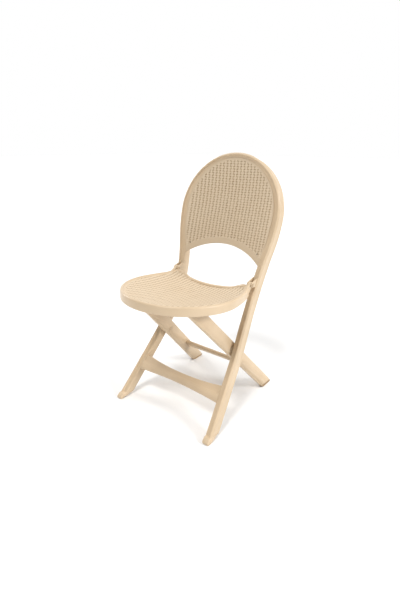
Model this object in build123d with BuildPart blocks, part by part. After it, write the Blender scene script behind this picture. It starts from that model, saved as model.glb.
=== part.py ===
"""Folding chair of moulded plastic with a woven-look back and a round seat.

Three bodies fold on each other: the back frame with the front legs, the rear
leg frame that crosses it, and the seat that flips up against the back.
The chair faces -Y, +X is to the right of someone looking at its front, +Z is up,
and the origin lies on the floor below the middle of the chair's outer box.
"""

import os
from math import atan, cos, radians, sin, tan

from build123d import *

# Overall height and the two leans of the back frame, in degrees from upright
height = 870.0
back_lean = 15.4
front_leg_lean = 40.9
bend_radius = 840.0  # long bend from the front legs into the back
bend_y = 90.15  # where the two straight runs of the front edge would meet
bend_z = 334.5

# Back frame section
frame_width = 25.0  # seen from the front
leg_depth = 40.0  # seen from the side
top_depth = 34.0  # the hoop is a little shallower at its top

# Half widths of the back frame's outer line, measured in the plane of the hoop
foot_half_width = 216.5
hoop_half_width = 208.0
hoop_widest = 346.0  # distance up the hoop plane from the bend
leg_top = -90.0  # where the straight leg runs into the waist
waist_radius = 1070.0
dome_radius = 206.0

# Woven back panel
panel_thickness = 6.0
panel_setback = 14.0  # behind the front of the hoop
arch_end = 188.0  # up the hoop plane, where the arch meets the hoop
arch_rise = 47.0
arch_half_width = 150.0

# Front stretcher, distances along the front leg from the floor
front_stretcher_low = 134.0
front_stretcher_high = 194.0
front_stretcher_sag = 14.0
front_stretcher_arch = 8.0
front_stretcher_depth = 18.0
front_stretcher_setback = 3.0

# Rear leg frame
rear_leg_lean = 42.6
rear_leg_depth = 48.0
rear_leg_width = 17.0
rear_foot_y = 205.05  # lower edge of the rear leg at the floor
rear_foot_half_width = 183.0
rear_leg_taper = 0.1302  # each rear leg leans in by this much for each mm up
rear_top_y = -179.35
rear_top_z = 443.6
top_front_round = 13.0
top_rear_round = 15.0
heel_round = 7.0
shoulder_round = 30.0  # where the front edge turns upright below the top

# Rear stretcher, distances along the rear leg from the floor
rear_stretcher_low = 96.0
rear_stretcher_high = 140.0
rear_stretcher_sag = 9.0
rear_stretcher_depth = 14.0
rear_stretcher_setback = 27.0

# Crossing pivot of the two leg frames
pivot_y = 26.05
pivot_z = 230.0
pivot_pin_radius = 5.0
running_clearance = 0.05
pivot_rear_face = 154.4  # outer face of the rear leg's boss
pivot_front_face = 155.7  # inner face of the front leg's boss
washer_thickness = 0.9
pivot_head_face = 137.0

# Slide bar at the top of the rear legs
bar_y = -156.85
bar_z = 426.0
bar_radius = 7.0

# Seat, in its own plane that rises towards the front
seat_radius = 202.0
seat_y = -64.85
seat_z = 451.0
seat_tilt = 3.6
skirt_height = 29.0
skirt_wall = 4.5
rim_width = 19.0
seat_panel_sink = 2.5
seat_panel_thickness = 4.5
deck_low = 12.0
side_start = 8.0  # degrees behind the widest line where the disc runs into its sides
horn_half_width = 163.0
rear_cut_radius = 335.0
rear_cut_y = 478.0  # centre of the curved rear edge, from the seat centre
horn_end = 168.0  # where the two rear horns are cut off, from the seat centre
rail_height = 8.0
rear_lip = 13.5  # along the curved rear edge the skirt is only this deep
rear_lip_half_width = 146.0

# Seat hinge in front of the back frame
hinge_y = 100.15
hinge_z = 453.0
hinge_radius = 9.0
hinge_pin_radius = 3.0
ear_inner = 154.5
ear_thickness = 4.5
knuckle_gap = 0.4
knuckle_width = 10.8

# Feet
sole_height = 5.0
spigot_radius = 5.0
spigot_height = 12.0
fit_gap = 0.15

os.makedirs("parts", exist_ok=True)


def finish(part, name):
    """Label one sub-part and write it under its name."""
    part.part.label = name
    export_step(part.part, f"parts/{name}.step")


def both_sides(part, name):
    """Write a sub-part made on the right, and its mirror image on the left."""
    finish(part, f"{name}_right")
    with BuildPart() as left:
        add(part.part)
        mirror(about=Plane.YZ, mode=Mode.REPLACE)
    finish(left, f"{name}_left")


def along(start, lean, distance, side=0.0):
    """Point at a distance up a leaning line, moved back across it by side."""
    angle = radians(lean)
    y = start[0] + distance * sin(angle) + side * cos(angle)
    z = start[1] + distance * cos(angle) - side * sin(angle)
    return (y, z)


# Planes that the outlines are drawn on
hoop_plane = Plane(
    origin=(0, bend_y, bend_z),
    x_dir=(1, 0, 0),
    z_dir=(0, -cos(radians(back_lean)), sin(radians(back_lean))),
)
seat_plane = Plane(
    origin=(0, seat_y, seat_z),
    x_dir=(1, 0, 0),
    z_dir=(0, sin(radians(seat_tilt)), cos(radians(seat_tilt))),
)
hoop_top = (height - bend_z) / cos(radians(back_lean))
bend = (bend_y, bend_z)
bend_tangent = bend_radius * tan(radians(front_leg_lean - back_lean) / 2)
leg_length = bend_z / cos(radians(front_leg_lean))
foot = along(bend, front_leg_lean, -leg_length)
foot_drop = (foot[0] - bend_y) * sin(radians(back_lean)) - bend_z * cos(radians(back_lean))
leg_splay = -0.1274  # sideways run of the leg for each mm up the hoop plane


# The frame's outer line in the plane of the hoop, and copies moved inwards


def frame_outline(inset):
    """Face inside the frame's outer line of runs and arcs, moved inwards by inset."""
    low = foot_drop - 90
    low_x = foot_half_width + leg_splay * (low - foot_drop)
    join_x = foot_half_width + leg_splay * (leg_top - foot_drop)
    # the waist arc ends where it meets the arc that leads to the widest point
    splay = atan(-leg_splay)
    waist_v = leg_top + waist_radius * sin(splay)
    waist_x = join_x - waist_radius * (1 - cos(splay))
    swell = 2 * atan((hoop_half_width - waist_x) / (hoop_widest - waist_v))
    turn_x = waist_x + waist_radius * (1 - cos(swell))
    turn_v = waist_v + waist_radius * sin(swell)
    # the dome is a side arc and a top arc that share a tangent
    dome_centre = hoop_top - dome_radius
    rise = dome_centre - hoop_widest
    side_radius = (hoop_half_width**2 + rise**2 - dome_radius**2) / (
        2 * (hoop_half_width - dome_radius)
    )
    lift = atan(rise / (side_radius - hoop_half_width))
    with BuildSketch() as outline:
        with BuildLine():
            Line((low_x, low), (join_x, leg_top))
            TangentArc((join_x, leg_top), (turn_x, turn_v), tangent=(leg_splay, 1))
            TangentArc(
                (turn_x, turn_v),
                (hoop_half_width, hoop_widest),
                tangent=(sin(swell), cos(swell)),
            )
            TangentArc(
                (hoop_half_width, hoop_widest),
                (dome_radius * cos(lift), dome_centre + dome_radius * sin(lift)),
                tangent=(0, 1),
            )
            TangentArc(
                (dome_radius * cos(lift), dome_centre + dome_radius * sin(lift)),
                (0, hoop_top),
                tangent=(-sin(lift), cos(lift)),
            )
            mirror(about=Plane.YZ)
            Line((-low_x, low), (low_x, low))
        make_face()
        if inset:
            offset(amount=-inset, mode=Mode.REPLACE)
    return outline.sketch


def frame_side(front, rear_low, rear_top):
    """Side view of a layer of the frame between two depths behind its front edge."""
    start = along(bend, front_leg_lean, -leg_length - 60)
    turn = (front_leg_lean - back_lean) / 2
    top_run = hoop_top + 40

    def edge_points(low_side, top_side):
        """Four corners of one edge, and the middle of its bend."""
        first = along(start, front_leg_lean, 0, low_side)
        second = along(bend, front_leg_lean, -bend_tangent, low_side)
        third = along(bend, back_lean, bend_tangent, low_side)
        last = along(bend, back_lean, top_run, top_side)
        middle = along(
            bend,
            back_lean + turn,
            0,
            bend_radius - (bend_radius / cos(radians(turn))) + low_side,
        )
        return first, second, middle, third, last

    f1, f2, fm, f3, f4 = edge_points(front, front)
    r1, r2, rm, r3, r4 = edge_points(rear_low, rear_top)
    with BuildSketch(Plane.YZ) as side:
        with BuildLine():
            Line(f1, f2)
            ThreePointArc(f2, fm, f3)
            Line(f3, f4)
            Line(f4, r4)
            Line(r4, r3)
            ThreePointArc(r3, rm, r2)
            Line(r2, r1)
            Line(r1, f1)
        make_face()
    return side.sketch


def frame_layer(inset, front, rear_low, rear_top):
    """Solid of the whole frame outline, moved inwards, between two depths."""
    outline = frame_outline(inset)
    side_view = frame_side(front, rear_low, rear_top)
    with BuildPart() as layer:
        with BuildSketch(hoop_plane):
            add(outline)
        extrude(amount=320, both=True)
        extrude(to_extrude=side_view, amount=260, both=True, mode=Mode.INTERSECT)
    return layer.part


def inner_prism(inset):
    """Everything that lies inside the frame's outer line, moved inwards."""
    outline = frame_outline(inset)
    with BuildPart() as prism:
        with BuildSketch(hoop_plane):
            add(outline)
        extrude(amount=320, both=True)
    return prism.part


# Back frame: hoop, front legs, hinge ears and the ledge behind the back panel

leg_plane = Plane(
    origin=(0, foot[0], 0),
    x_dir=(1, 0, 0),
    z_dir=(0, -cos(radians(front_leg_lean)), sin(radians(front_leg_lean))),
)
panel_rear = panel_setback + panel_thickness
ledge_width = 8.0
ledge_depth = 4.0
arch_radius = (arch_half_width**2 + arch_rise**2) / (2 * arch_rise)
arch_centre = arch_end + arch_rise - arch_radius
outer_ear = ear_inner + ear_thickness + 2 * knuckle_gap + knuckle_width
foot_centre_x = foot_half_width - frame_width / 2
foot_centre_y = foot[0] + 32.0
screw_x = 148.0
screw_v = 220.0
screw_radius = 1.6
screw_head_height = 1.8
screw_tip = 0.6  # stands out of the panel's front face
lug_radius = 5.0  # of the ledge's lugs that take the screws
lug_reach = 18.0  # from the screw into the frame
ear_root_radius = 6.0
spot_face_radius = 17.0
pivot_boss_radius = 15.0
pivot_boss_length = 8.0
pivot_hole_depth = 13.0

hoop_body = frame_layer(0, 0, leg_depth, top_depth)
hoop_inside = inner_prism(frame_width)
panel_space = inner_prism(frame_width + fit_gap)
ledge_outside = inner_prism(frame_width - 3)
ledge_inside = inner_prism(frame_width + ledge_width)

# ledge that the back panel rests against, above the arch only
with BuildPart() as ledge:
    with BuildSketch(hoop_plane.offset(-panel_rear)):
        with Locations((0, arch_end + 250)):
            Rectangle(2 * hoop_half_width - 8, 500)
    extrude(amount=-ledge_depth)
    add(ledge_outside, mode=Mode.INTERSECT)
    add(ledge_inside, mode=Mode.SUBTRACT)
    for side in (1, -1):
        with BuildSketch(hoop_plane.offset(-panel_rear)) as lug:
            with Locations((side * screw_x, screw_v), (side * (screw_x + lug_reach), screw_v)):
                Circle(lug_radius)
            make_hull()
        extrude(amount=-ledge_depth)

with BuildPart() as back_frame:
    add(hoop_body)
    add(hoop_inside, mode=Mode.SUBTRACT)
    split(bisect_by=Plane.XY.offset(sole_height), keep=Keep.TOP)
    add(ledge.part)
    # two ears on each side carry the seat hinge
    for side in (1, -1):
        for inner in (ear_inner, outer_ear):
            with BuildSketch(Plane.YZ.offset(side * inner)) as ear:
                with Locations((hinge_y, hinge_z)):
                    Circle(hinge_radius)
                with Locations((hinge_y + 27, hinge_z - 7), (hinge_y + 31, hinge_z + 11)):
                    Circle(ear_root_radius)
                make_hull()
            extrude(amount=side * ear_thickness)
        with BuildSketch(Plane.YZ) as hinge_bore:
            with Locations((hinge_y, hinge_z)):
                Circle(hinge_pin_radius)
        extrude(amount=side * 200, mode=Mode.SUBTRACT)
        # spot face, boss and blind hole of the crossing pivot
        with BuildSketch(Plane.YZ) as spot_face:
            with Locations((pivot_y, pivot_z)):
                Circle(spot_face_radius)
        extrude(amount=side * pivot_front_face, mode=Mode.SUBTRACT)
        with BuildSketch(Plane.YZ.offset(side * pivot_front_face)) as boss:
            with Locations((pivot_y, pivot_z)):
                Circle(pivot_boss_radius)
        extrude(amount=side * pivot_boss_length)
        with BuildSketch(Plane.YZ.offset(side * pivot_front_face)) as pin_hole:
            with Locations((pivot_y, pivot_z)):
                Circle(pivot_pin_radius)
        extrude(amount=side * pivot_hole_depth, mode=Mode.SUBTRACT)
        # hole for the foot's spigot
        with BuildSketch(Plane.XY) as spigot_hole:
            with Locations((side * foot_centre_x, foot_centre_y)):
                Circle(spigot_radius)
        extrude(amount=sole_height + spigot_height + 1, mode=Mode.SUBTRACT)
        # holes in the ledge for the panel screws
        with BuildSketch(hoop_plane) as screw_hole:
            with Locations((side * screw_x, screw_v)):
                Circle(screw_radius)
        extrude(amount=-60, mode=Mode.SUBTRACT)
finish(back_frame, "back_frame")

# Woven back panel, closed at the bottom by an arched band

with BuildPart() as back_panel:
    with BuildSketch(hoop_plane.offset(-panel_setback)) as panel_face:
        with Locations((0, arch_centre + 300)):
            Rectangle(500, 600)
        with Locations((0, arch_centre)):
            Circle(arch_radius, mode=Mode.SUBTRACT)
        with Locations((screw_x, screw_v), (-screw_x, screw_v)):
            Circle(screw_radius, mode=Mode.SUBTRACT)
    extrude(amount=fit_gap - panel_thickness)
    add(panel_space, mode=Mode.INTERSECT)
finish(back_panel, "back_panel")

with BuildPart() as panel_screws:
    for side in (1, -1):
        with BuildSketch(hoop_plane.offset(screw_tip - panel_setback)) as shank:
            with Locations((side * screw_x, screw_v)):
                Circle(screw_radius)
        extrude(amount=-screw_tip - panel_thickness - ledge_depth)
        with BuildSketch(hoop_plane.offset(-panel_rear - ledge_depth)) as head:
            with Locations((side * screw_x, screw_v)):
                Circle(2 * screw_radius)
        extrude(amount=-screw_head_height)
finish(panel_screws, "panel_screws")

# Front stretcher, let in between the front legs

with BuildPart() as front_stretcher:
    with BuildSketch(leg_plane.offset(-front_stretcher_setback)) as board:
        with BuildLine():
            low, high, half = front_stretcher_low, front_stretcher_high, 180
            ThreePointArc((-half, low), (0, low + front_stretcher_arch), (half, low))
            Line((half, low), (half, high))
            ThreePointArc((half, high), (0, high - front_stretcher_sag), (-half, high))
            Line((-half, high), (-half, low))
        make_face()
    extrude(amount=-front_stretcher_depth)
    fillet(front_stretcher.edges().filter_by(GeomType.CIRCLE), radius=3)
    add(panel_space, mode=Mode.INTERSECT)
finish(front_stretcher, "front_stretcher")

# Front feet, an L-shaped boot under each front leg with a swollen toe

toe_length = 32.0  # up the leg
toe_swell = 5.0  # in front of the leg
boot_side_swell = 1.0
toe_low = along((foot[0], 0), front_leg_lean, 2, -toe_swell)
toe_high = along((foot[0], 0), front_leg_lean, toe_length, 1 - toe_swell)
leg_high = along((foot[0], 0), front_leg_lean, toe_length, 0)
sole_lead = sole_height * tan(radians(front_leg_lean))
heel_y = foot[0] + leg_depth / cos(radians(front_leg_lean))
boot_outside = inner_prism(-boot_side_swell)
boot_inside = inner_prism(frame_width + boot_side_swell)

with BuildPart() as front_foot:
    with BuildSketch(Plane.YZ) as boot:
        Polygon(
            (foot[0] + 2, 0),
            toe_low,
            toe_high,
            leg_high,
            (foot[0] + sole_lead, sole_height),
            (heel_y + sole_lead, sole_height),
            (heel_y - 3, 0),
            align=None,
        )
    extrude(amount=260)
    add(boot_outside, mode=Mode.INTERSECT)
    add(boot_inside, mode=Mode.SUBTRACT)
    with BuildSketch(Plane.XY.offset(sole_height)) as spigot:
        with Locations((foot_centre_x, foot_centre_y)):
            Circle(spigot_radius)
    extrude(amount=spigot_height)
both_sides(front_foot, "front_foot")

# Rear legs, two planks inside the front legs with their tops under the seat

rear_plane = Plane(
    origin=(0, rear_foot_y, 0),
    x_dir=(1, 0, 0),
    z_dir=(0, -cos(radians(rear_leg_lean)), -sin(radians(rear_leg_lean))),
)
rear_slope = tan(radians(rear_leg_lean))
rear_back_y = rear_foot_y + rear_leg_depth / cos(radians(rear_leg_lean))
rear_shoulder_z = (rear_foot_y - rear_top_y) / rear_slope


def rear_half_width(z):
    """Half width over the outer faces of the rear legs at a height."""
    return rear_foot_half_width - rear_leg_taper * z


def rear_band(outer_inset, inner_inset):
    """Everything between two depths inside the right rear leg's outer face."""
    with BuildPart() as band:
        with BuildSketch(Plane.XZ) as front_view:
            Polygon(
                (rear_half_width(0) - outer_inset, 0),
                (rear_half_width(500) - outer_inset, 500),
                (rear_half_width(500) - inner_inset, 500),
                (rear_half_width(0) - inner_inset, 0),
                align=None,
            )
        extrude(amount=500, both=True)
    return band.part


rear_boss_radius = 14.0
pin_recess_radius = 11.0
rear_foot_x = rear_foot_half_width - rear_leg_width / 2
rear_foot_centre = rear_foot_y + 31.0
rear_spigot_radius = spigot_radius - 1
boss_root = rear_half_width(pivot_z) - 8
rear_leg_slab = rear_band(0, rear_leg_width)

with BuildPart() as rear_leg:
    with BuildSketch(Plane.YZ) as plank:
        Polygon(
            (rear_foot_y - rear_slope * sole_height, sole_height),
            (rear_top_y, rear_shoulder_z),
            (rear_top_y, rear_top_z),
            (rear_back_y - rear_slope * rear_top_z, rear_top_z),
            (rear_back_y - rear_slope * sole_height, sole_height),
            align=None,
        )
        fillet(plank.vertices().sort_by(Axis.X)[-1], radius=heel_round)
        fillet(plank.vertices().group_by(Axis.X)[0].sort_by(Axis.Y)[0], radius=shoulder_round)
        fillet(plank.vertices().group_by(Axis.Y)[-1].sort_by(Axis.X)[-1], radius=top_rear_round)
        fillet(plank.vertices().group_by(Axis.Y)[-1].sort_by(Axis.X)[0], radius=top_front_round)
    extrude(amount=260)
    add(rear_leg_slab, mode=Mode.INTERSECT)
    with BuildSketch(Plane.YZ.offset(boss_root)) as boss:
        with Locations((pivot_y, pivot_z)):
            Circle(rear_boss_radius)
    extrude(amount=pivot_rear_face - boss_root)
    with BuildSketch(Plane.YZ.offset(pivot_rear_face)) as boss_face:
        with Locations((pivot_y, pivot_z)):
            Circle(rear_boss_radius + 0.5)
    extrude(amount=6, mode=Mode.SUBTRACT)
    with BuildSketch(Plane.YZ) as pivot_bore:
        with Locations((pivot_y, pivot_z)):
            Circle(pivot_pin_radius + running_clearance)
    extrude(amount=200, mode=Mode.SUBTRACT)
    with BuildSketch(Plane.YZ) as head_face:
        with Locations((pivot_y, pivot_z)):
            Circle(pin_recess_radius)
    extrude(amount=pivot_head_face + 1.5, mode=Mode.SUBTRACT)
    with BuildSketch(Plane.YZ) as bar_hole:
        with Locations((bar_y, bar_z)):
            Circle(bar_radius)
    extrude(amount=200, mode=Mode.SUBTRACT)
    with BuildSketch(Plane.XY) as spigot_hole:
        with Locations((rear_foot_x, rear_foot_centre)):
            Circle(rear_spigot_radius)
    extrude(amount=sole_height + spigot_height + 1, mode=Mode.SUBTRACT)
both_sides(rear_leg, "rear_leg")

rear_foot_overhang = 0.7

with BuildPart() as rear_foot:
    with BuildSketch(
        Plane.YZ.offset(rear_foot_x - rear_leg_width / 2 - rear_foot_overhang)
    ) as pad:
        Polygon(
            (rear_foot_y + 5, 0),
            (rear_foot_y - 5, sole_height),
            (rear_foot_y + 58, sole_height),
            (rear_foot_y + 52, 0),
            align=None,
        )
    extrude(amount=rear_leg_width + 2 * rear_foot_overhang)
    with BuildSketch(Plane.XY.offset(sole_height)) as spigot:
        with Locations((rear_foot_x, rear_foot_centre)):
            Circle(rear_spigot_radius)
    extrude(amount=spigot_height)
both_sides(rear_foot, "rear_foot")

with BuildPart() as rear_stretcher:
    with BuildSketch(rear_plane.offset(-rear_stretcher_setback)) as board:
        with BuildLine():
            low, high, half = rear_stretcher_low, rear_stretcher_high, 170
            ThreePointArc((-half, low), (0, low + rear_stretcher_sag), (half, low))
            Line((half, low), (half, high))
            ThreePointArc((half, high), (0, high - rear_stretcher_sag), (-half, high))
            Line((-half, high), (-half, low))
        make_face()
    extrude(amount=-rear_stretcher_depth)
    with BuildSketch(Plane.XZ) as between_legs:
        inner = rear_leg_width + fit_gap
        Polygon(
            (rear_half_width(0) - inner, 0),
            (rear_half_width(400) - inner, 400),
            (inner - rear_half_width(400), 400),
            (inner - rear_half_width(0), 0),
            align=None,
        )
    extrude(amount=500, both=True, mode=Mode.INTERSECT)
finish(rear_stretcher, "rear_stretcher")

with BuildPart() as slide_bar:
    with BuildSketch(Plane.YZ) as bar:
        with Locations((bar_y, bar_z)):
            Circle(bar_radius)
    extrude(amount=rear_half_width(bar_z) - 2, both=True)
finish(slide_bar, "slide_bar")

# Crossing pivots: a headed pin pressed into the front leg, and a washer

pin_head_start = pivot_head_face - 2
pin_head_radius = 9.0
pin_head_thickness = 3.0

with BuildPart() as crossing_pin:
    with BuildSketch(Plane.YZ.offset(pin_head_start)) as shank:
        with Locations((pivot_y, pivot_z)):
            Circle(pivot_pin_radius)
    extrude(amount=pivot_front_face + pivot_hole_depth - 1 - pin_head_start)
    with BuildSketch(Plane.YZ.offset(pin_head_start)) as head:
        with Locations((pivot_y, pivot_z)):
            Circle(pin_head_radius)
    extrude(amount=pin_head_thickness)
    fillet(crossing_pin.edges().sort_by(Axis.X)[0], radius=1)
both_sides(crossing_pin, "crossing_pin")

with BuildPart() as crossing_washer:
    with BuildSketch(Plane.YZ.offset(pivot_rear_face)) as ring:
        with Locations((pivot_y, pivot_z)):
            Circle(pin_recess_radius)
            Circle(pivot_pin_radius + running_clearance, mode=Mode.SUBTRACT)
    extrude(amount=washer_thickness)
both_sides(crossing_washer, "crossing_washer")

# Seat shell: rim, skirt, deck with its rails, and the two hinge knuckles


def seat_outline(inset):
    """Seat seen from above: a disc whose sides run back into two horns beside a curved cut."""
    angle = radians(side_start)
    side = (seat_radius * cos(angle), seat_radius * sin(angle))
    with BuildSketch() as outline:
        with BuildLine():
            CenterArc((0, 0), seat_radius, -90, 90 + side_start)
            TangentArc(side, (horn_half_width, horn_end), tangent=(-sin(angle), cos(angle)))
            Line((horn_half_width, horn_end), (0, horn_end))
            mirror(about=Plane.YZ)
        make_face()
        with Locations((0, rear_cut_y)):
            Circle(rear_cut_radius, mode=Mode.SUBTRACT)
        fillet(outline.vertices().group_by(Axis.Y)[-1], radius=5)
        if inset:
            offset(amount=-inset, mode=Mode.REPLACE)
    return outline.sketch


deck_top = seat_panel_sink + seat_panel_thickness
rail_spans = ((104.0, 107.0), (130.0, 133.0))
rail_gauge = rail_spans[1][1] - rail_spans[0][0]
rail_middle = rail_spans[0][0] + rail_gauge / 2
rail_front = -120.0
rail_rear = 80.0
stop_rear = -115.4
knuckle_inner = ear_inner + ear_thickness + knuckle_gap
neck_middle = knuckle_inner + knuckle_width / 2
neck_start = 122.0
neck_root_radius = 4.0
hinge_head_radius = 5.0
hinge_head_thickness = 1.8

seat_edge = seat_outline(0)
deck_edge = seat_outline(rim_width)
skirt_inside = seat_outline(skirt_wall)
seat_panel_edge = seat_outline(rim_width + fit_gap)

with BuildPart() as seat_shell:
    with BuildSketch(seat_plane):
        add(seat_edge)
    extrude(amount=-skirt_height)
    fillet(seat_shell.faces().sort_by(Axis.Z)[-1].edges(), radius=3.5)
    with BuildSketch(seat_plane):
        add(deck_edge)
    extrude(amount=-deck_top, mode=Mode.SUBTRACT)
    with BuildSketch(seat_plane.offset(-skirt_height)):
        add(skirt_inside)
    extrude(amount=skirt_height - deck_low, mode=Mode.SUBTRACT)
    # only a lip along the curved rear edge, where the rear legs pass on folding
    with BuildSketch(seat_plane.offset(-skirt_height)) as rear_opening:
        with Locations((0, rear_cut_y - rear_cut_radius + 12)):
            RectangleRounded(2 * rear_lip_half_width, 100, 8)
    extrude(amount=skirt_height - rear_lip, mode=Mode.SUBTRACT)
    for side in (1, -1):
        with BuildSketch(seat_plane.offset(-deck_low)) as rails:
            for first, last in rail_spans:
                with Locations((side * (first + last) / 2, (rail_front + rail_rear) / 2)):
                    Rectangle(last - first, rail_rear - rail_front)
            with Locations((side * rail_middle, (rail_front + stop_rear) / 2)):
                Rectangle(rail_gauge, stop_rear - rail_front)
        extrude(amount=-rail_height)
        with BuildSketch(Plane.YZ.offset(side * knuckle_inner)) as neck:
            with Locations((hinge_y, hinge_z)):
                Circle(hinge_radius)
            with Locations((hinge_y - 37, hinge_z - 19), (hinge_y - 16, hinge_z - 21)):
                Circle(neck_root_radius)
            make_hull()
        extrude(amount=side * knuckle_width)
        with BuildSketch(Plane.YZ) as knuckle_bore:
            with Locations((hinge_y, hinge_z)):
                Circle(hinge_pin_radius + running_clearance)
        extrude(amount=side * 200, mode=Mode.SUBTRACT)
finish(seat_shell, "seat_shell")

with BuildPart() as seat_panel:
    with BuildSketch(seat_plane.offset(-seat_panel_sink)):
        add(seat_panel_edge)
        for side in (1, -1):
            with Locations((side * neck_middle, neck_start + 50)):
                Rectangle(knuckle_width + 2, 100, mode=Mode.SUBTRACT)
    extrude(amount=-seat_panel_thickness)
finish(seat_panel, "seat_panel")

with BuildPart() as hinge_pin:
    with BuildSketch(Plane.YZ.offset(ear_inner - 1)) as shank:
        with Locations((hinge_y, hinge_z)):
            Circle(hinge_pin_radius)
    extrude(amount=outer_ear + ear_thickness - ear_inner + 1)
    with BuildSketch(Plane.YZ.offset(outer_ear + ear_thickness)) as head:
        with Locations((hinge_y, hinge_z)):
            Circle(hinge_head_radius)
    extrude(amount=hinge_head_thickness)
both_sides(hinge_pin, "seat_hinge_pin")
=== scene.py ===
"""Looks of a folding chair in cream moulded plastic: arched woven back, round dished seat.

Everything is in metres in the CAD frame: +Z up, -Y is the way the sitter faces.
"""

import math

import bpy
import numpy as np
from mathutils import Matrix, Vector


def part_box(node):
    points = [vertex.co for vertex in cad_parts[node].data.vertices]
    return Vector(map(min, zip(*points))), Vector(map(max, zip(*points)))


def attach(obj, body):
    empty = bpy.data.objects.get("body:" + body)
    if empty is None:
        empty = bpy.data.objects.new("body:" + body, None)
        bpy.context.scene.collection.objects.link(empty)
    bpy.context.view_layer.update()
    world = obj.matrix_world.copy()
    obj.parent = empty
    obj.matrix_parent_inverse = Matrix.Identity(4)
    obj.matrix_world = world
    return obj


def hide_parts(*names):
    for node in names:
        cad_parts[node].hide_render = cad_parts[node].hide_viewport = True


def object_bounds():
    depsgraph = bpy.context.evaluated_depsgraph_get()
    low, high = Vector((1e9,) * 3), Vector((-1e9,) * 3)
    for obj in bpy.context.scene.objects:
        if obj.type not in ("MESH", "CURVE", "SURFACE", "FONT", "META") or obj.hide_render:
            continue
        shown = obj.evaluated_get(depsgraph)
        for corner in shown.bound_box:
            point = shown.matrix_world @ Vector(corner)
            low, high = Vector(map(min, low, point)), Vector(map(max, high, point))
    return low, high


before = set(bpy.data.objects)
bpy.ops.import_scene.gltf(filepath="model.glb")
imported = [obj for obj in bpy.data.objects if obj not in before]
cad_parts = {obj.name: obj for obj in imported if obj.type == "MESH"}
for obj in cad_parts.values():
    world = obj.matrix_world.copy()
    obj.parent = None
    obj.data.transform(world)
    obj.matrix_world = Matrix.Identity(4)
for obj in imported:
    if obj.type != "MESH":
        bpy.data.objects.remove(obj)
cad_low, cad_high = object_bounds()
scene = bpy.context.scene

# ---------------------------------------------------------------- camera
# A 24 mm lens a step and a half away, to the right of the chair's front and
# looking a little down on the seat.
camera_place = Vector((0.819, -1.0169, 0.892))
camera_turn = math.radians(37.95)
camera_down = math.radians(21.14)
camera_roll = math.radians(0.18)

camera = bpy.data.objects.new("camera", bpy.data.cameras.new("camera"))
camera.data.lens = 24.0
camera.data.sensor_width = 36.0
camera.data.clip_start = 0.05
camera.data.clip_end = 60.0
camera.matrix_world = (
    Matrix.Translation(camera_place)
    @ Matrix.Rotation(camera_turn, 4, "Z")
    @ Matrix.Rotation(math.pi / 2 - camera_down, 4, "X")
    @ Matrix.Rotation(camera_roll, 4, "Z")
)
scene.collection.objects.link(camera)
scene.camera = camera


# ---------------------------------------------------------------- floor and light
# A plain pale studio floor in a bright white room whose front wall is darker. One
# broad lamp shines from above, one from the chair's right and a weaker one from its left.
class Wire:
    """One output of a shader node. Arithmetic on it adds Math nodes."""

    def __init__(self, tree, socket=None):
        self.tree = tree
        self.socket = socket

    def node(self, kind, settings=None, values=None, output=0):
        """Adds a node: its settings go in first, then the value or wire of each input."""
        made = self.tree.nodes.new(kind)
        for name, value in (settings or {}).items():
            setattr(made, name, value)
        for name, value in (values or {}).items():
            if isinstance(value, Wire):
                self.tree.links.new(value.socket, made.inputs[name])
            else:
                made.inputs[name].default_value = value
        return Wire(self.tree, made.outputs[output])

    def maths(self, operation, first, second=0.0):
        return self.node("ShaderNodeMath", {"operation": operation}, {0: first, 1: second})

    def __add__(self, other):
        return self.maths("ADD", self, other)

    def __sub__(self, other):
        return self.maths("SUBTRACT", self, other)

    def __rsub__(self, other):
        return self.maths("SUBTRACT", other, self)

    def __mul__(self, other):
        return self.maths("MULTIPLY", self, other)

    __radd__ = __add__
    __rmul__ = __mul__

    def blend(self, low, high):
        """The colour low where this wire is 0, and high where it is 1."""
        return self.node(
            "ShaderNodeMix",
            {"data_type": "RGBA", "clamp_factor": True},
            {0: self, 6: low, 7: high},
            output=2,
        )


def new_material(name):
    """An empty Principled material: its wire to start from and its shader node."""
    material = bpy.data.materials.new(name)
    material.use_nodes = True
    shader = material.node_tree.nodes["Principled BSDF"]
    return material, Wire(material.node_tree), shader


def linear(red, green, blue):
    """A colour given as 0 to 255 screen values, as the linear values a shader takes."""
    shade = np.array([red, green, blue]) / 255.0
    low, high = shade / 12.92, ((shade + 0.055) / 1.055) ** 2.4
    return (*np.where(shade <= 0.04045, low, high), 1.0)


def flat_mesh(name, points, faces):
    """A smooth mesh object made from arrays of points and faces."""
    mesh = bpy.data.meshes.new(name)
    mesh.from_pydata(points.reshape(-1, 3).tolist(), [], faces)
    mesh.update()
    mesh.shade_smooth()
    made = bpy.data.objects.new(name, mesh)
    scene.collection.objects.link(made)
    return made


floor_half = 30.0
floor = flat_mesh(
    "floor",
    floor_half * np.array([[-1, -1, 0], [1, -1, 0], [1, 1, 0], [-1, 1, 0]], float),
    [(0, 1, 2, 3)],
)
floor_paint, start, shader = new_material("floor_paint")
specks = start.node("ShaderNodeTexNoise", None, {"Scale": 3.0, "Detail": 3.0})
floor_tone = specks.blend(linear(238, 238, 238), linear(242, 242, 242))
start.tree.links.new(floor_tone.socket, shader.inputs["Base Color"])
shader.inputs["Roughness"].default_value = 0.9
floor.data.materials.append(floor_paint)

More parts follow.
